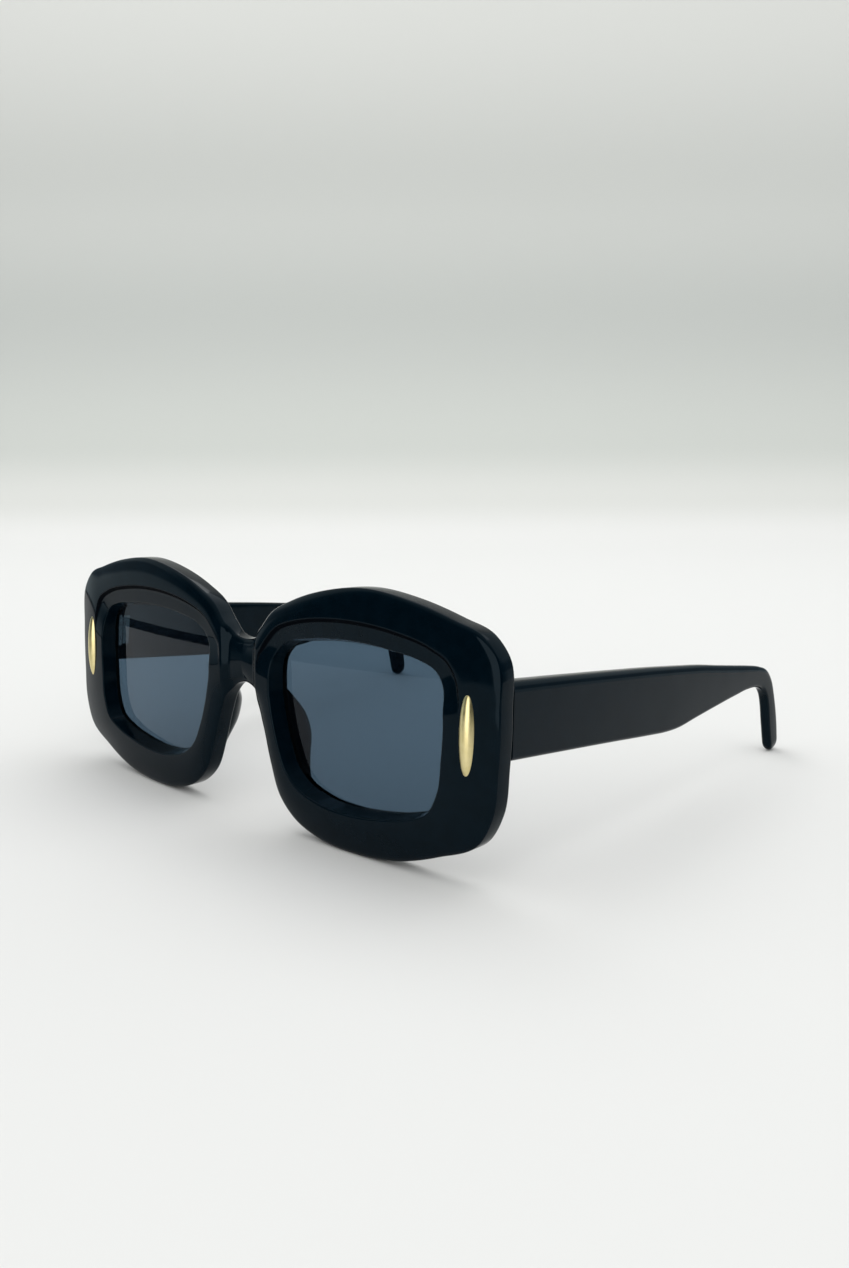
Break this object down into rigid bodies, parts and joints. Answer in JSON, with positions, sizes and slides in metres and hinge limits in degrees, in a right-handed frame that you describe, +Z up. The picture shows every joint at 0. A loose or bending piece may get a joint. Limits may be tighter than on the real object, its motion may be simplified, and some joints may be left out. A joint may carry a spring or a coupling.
{
  "type": "sunglasses",
  "caption": "Oversized sunglasses with a thick black front, wide folding temples, tinted lenses and a gold spindle let into each side",
  "frame": {"origin": "The centre of the bounding box's base: the table that the open sunglasses stand on, midway between their front and their rear.", "axes": "+X to the wearer's left, -Y the way the wearer looks, +Z up; the open temples run back along +Y."},
  "size_m": [0.1434, 0.1318, 0.0565],
  "materials": {
    "acetate": "polished cellulose acetate",
    "lens": "see-through tinted lens plastic, smoky grey-blue, polished",
    "gold": "polished pale gold plate",
    "hinge": "satin nickel-silver hinge metal"
  },
  "bodies": {
    "front": {"front_frame": "acetate", "lens_left": "lens", "lens_right": "lens", "nose_pad_left": "acetate", "nose_pad_right": "acetate", "inlay_left": "gold", "inlay_right": "gold", "front_hinge_left": "hinge", "front_hinge_right": "hinge", "hinge_screw_left": "hinge", "hinge_screw_right": "hinge"},
    "left_arm": {"temple_left": "acetate", "temple_hinge_left": "hinge", "temple_core_left": "hinge"},
    "right_arm": {"temple_right": "acetate", "temple_hinge_right": "hinge", "temple_core_right": "hinge"}
  },
  "joints": [
    {"name": "temple_fold_left", "type": "hinge", "parent": "front", "child": "left_arm", "pos_m": [0.0647, -0.05413, 0.03301], "axis": [0, 0.1158, 0.9933], "range_deg": [0, 92]},
    {"name": "temple_fold_right", "type": "hinge", "parent": "front", "child": "right_arm", "pos_m": [-0.0647, -0.05413, 0.03301], "axis": [0, -0.1158, -0.9933], "range_deg": [0, 84]}
  ]
}
